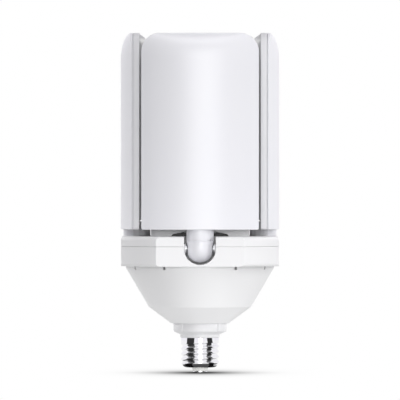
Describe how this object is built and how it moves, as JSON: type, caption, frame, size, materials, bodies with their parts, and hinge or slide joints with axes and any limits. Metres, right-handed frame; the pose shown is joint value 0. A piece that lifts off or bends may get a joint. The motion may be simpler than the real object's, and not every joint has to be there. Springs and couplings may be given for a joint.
{
  "type": "folding-leaf ceiling lamp",
  "caption": "Screw-in ceiling lamp with a conical driver housing and crowned rectangular leaves that fold out on ball-ended friction hinges.",
  "frame": {"origin": "on the lamp's axis at the lower edge of the first thread crest of the screw cap", "axes": "+Z along the lamp's axis from the cap towards the free ends of the folded leaves; -Y through the front leaf. The lamp stands on its cap here; in use it hangs the other way up."},
  "size_m": [0.1098, 0.1098, 0.2353],
  "materials": {
    "housing_white": "moulded satin-gloss white",
    "leaf_white": "moulded satin-gloss white, faintly cool",
    "chromed_shell": "bright rolled metal",
    "cap_insulator": "ivory insulating moulding",
    "contact_metal": "tinned contact",
    "screw_steel": "plated steel",
    "axle_steel": "ground steel",
    "circuit_board": "glass-fibre board with solder resist",
    "ferrite": "dark ferrite and taped winding",
    "capacitor_sleeve": "shrink sleeve",
    "copper_winding": "enamelled copper",
    "black_epoxy": "moulded epoxy",
    "wire_red": "insulated wire",
    "wire_white": "insulated wire",
    "diffuser_milk": "milky translucent sheet moulding",
    "sink_aluminium": "extruded, bare",
    "led_board_white": "white solder resist on aluminium",
    "led_phosphor": "yellow phosphor under clear resin"
  },
  "bodies": {
    "base": {"screw_shell": "chromed_shell", "cap_insulator": "cap_insulator", "centre_contact": "contact_metal", "cap_collar": "housing_white", "driver_housing": "housing_white", "deck_lid": "housing_white", "lid_screws": "screw_steel", "board_screws": "screw_steel", "collar_screws": "screw_steel", "driver_board": "circuit_board", "transformer": "ferrite", "capacitors": "capacitor_sleeve", "choke": "copper_winding", "bridge_rectifier": "black_epoxy", "live_lead": "wire_red", "neutral_lead": "wire_white", "leaf_leads": "wire_white"},
    "leaf_front": {"front_back_cover": "leaf_white", "front_knuckle_cover": "leaf_white", "front_frame": "leaf_white", "front_diffuser": "diffuser_milk", "front_heat_sink": "sink_aluminium", "front_led_board": "led_board_white", "front_led_chips": "led_phosphor", "front_leaf_screws": "screw_steel", "front_hinge_axle": "axle_steel", "front_friction_washers": "axle_steel"},
    "leaf_right": {"right_back_cover": "leaf_white", "right_knuckle_cover": "leaf_white", "right_frame": "leaf_white", "right_diffuser": "diffuser_milk", "right_heat_sink": "sink_aluminium", "right_led_board": "led_board_white", "right_led_chips": "led_phosphor", "right_leaf_screws": "screw_steel", "right_hinge_axle": "axle_steel", "right_friction_washers": "axle_steel"},
    "leaf_back": {"back_back_cover": "leaf_white", "back_knuckle_cover": "leaf_white", "back_frame": "leaf_white", "back_diffuser": "diffuser_milk", "back_heat_sink": "sink_aluminium", "back_led_board": "led_board_white", "back_led_chips": "led_phosphor", "back_leaf_screws": "screw_steel", "back_hinge_axle": "axle_steel", "back_friction_washers": "axle_steel"},
    "leaf_left": {"left_back_cover": "leaf_white", "left_knuckle_cover": "leaf_white", "left_frame": "leaf_white", "left_diffuser": "diffuser_milk", "left_heat_sink": "sink_aluminium", "left_led_board": "led_board_white", "left_led_chips": "led_phosphor", "left_leaf_screws": "screw_steel", "left_hinge_axle": "axle_steel", "left_friction_washers": "axle_steel"}
  },
  "joints": [
    {"name": "front_leaf_hinge", "type": "hinge", "parent": "base", "child": "leaf_front", "pos_m": [0, -0.044, 0.07889], "axis": [1, 0, 0], "range_deg": [0, 90]},
    {"name": "right_leaf_hinge", "type": "hinge", "parent": "base", "child": "leaf_right", "pos_m": [0.044, 0, 0.07889], "axis": [0, 1, 0], "range_deg": [0, 90]},
    {"name": "back_leaf_hinge", "type": "hinge", "parent": "base", "child": "leaf_back", "pos_m": [0, 0.044, 0.07889], "axis": [-1, 0, 0], "range_deg": [0, 90]},
    {"name": "left_leaf_hinge", "type": "hinge", "parent": "base", "child": "leaf_left", "pos_m": [-0.044, 0, 0.07889], "axis": [0, -1, 0], "range_deg": [0, 90]}
  ]
}
